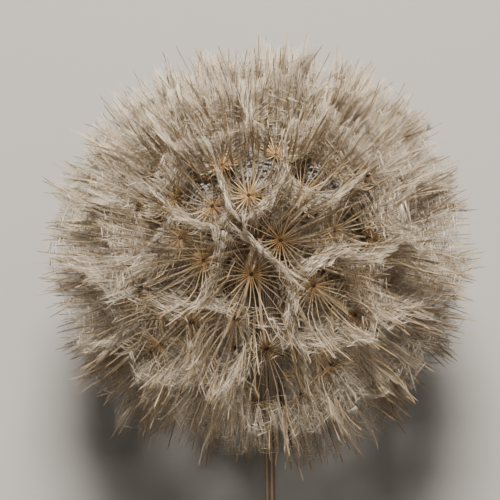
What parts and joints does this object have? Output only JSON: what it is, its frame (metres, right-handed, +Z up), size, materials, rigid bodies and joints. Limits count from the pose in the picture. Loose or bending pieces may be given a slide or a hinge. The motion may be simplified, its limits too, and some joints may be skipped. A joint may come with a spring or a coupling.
{
  "type": "salsify seed head",
  "caption": "Dried salsify seed head: a globe of slender stalked seeds with open feathery parachutes, on a cut, ribbed stem with bent-back bracts, lying on its side.",
  "frame": {"origin": "on the surface that the piece lies on, under the middle of its box", "axes": "+Z up from that surface; the cut end of the stem lies towards -Y and the globe towards +Y, so +Y runs along the longest side of the box"},
  "size_m": [0.0994, 0.193, 0.0973],
  "materials": {
    "down": "matte, pale fibres on ochre rays, with brown nutlets inside",
    "stem": "matte, ribbed, dried brown",
    "bract": "matte, papery, veined along its length"
  },
  "bodies": {
    "root": {"seed_head": "down", "stem": "stem", "bracts": "bract"}
  },
  "joints": []
}
